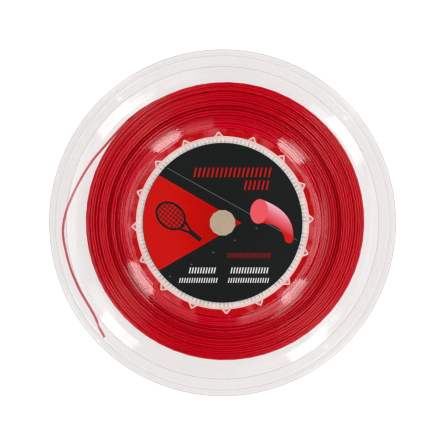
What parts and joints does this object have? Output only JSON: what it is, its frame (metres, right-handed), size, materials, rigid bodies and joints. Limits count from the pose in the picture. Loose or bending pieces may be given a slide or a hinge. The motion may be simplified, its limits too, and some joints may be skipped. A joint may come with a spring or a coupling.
{
  "type": "string reel",
  "caption": "Clear plastic reel with two flanges, a fluted hub and round labels, wound full of red racket string whose free end comes out through a hole in the front flange.",
  "frame": {"origin": "centre of the ring that the rear flange rests on", "axes": "+Z along the reel's axis, from the rear flange to the labelled front flange; +X to the right and +Y up as the front label is seen"},
  "size_m": [0.17, 0.17, 0.0483],
  "materials": {
    "clear_plastic": "clear moulded, polished",
    "milky_plastic": "translucent white, fine ribs",
    "label_print": "printed coated card",
    "label_card": "unprinted card",
    "red_string": "smooth glossy monofilament"
  },
  "bodies": {
    "root": {"front_flange": "clear_plastic", "rear_flange": "clear_plastic", "hub_sleeve": "clear_plastic", "hub_core": "milky_plastic", "front_label": "label_print", "rear_label": "label_card", "string_winding": "red_string", "string_start": "red_string", "string_tail": "red_string"}
  },
  "joints": []
}
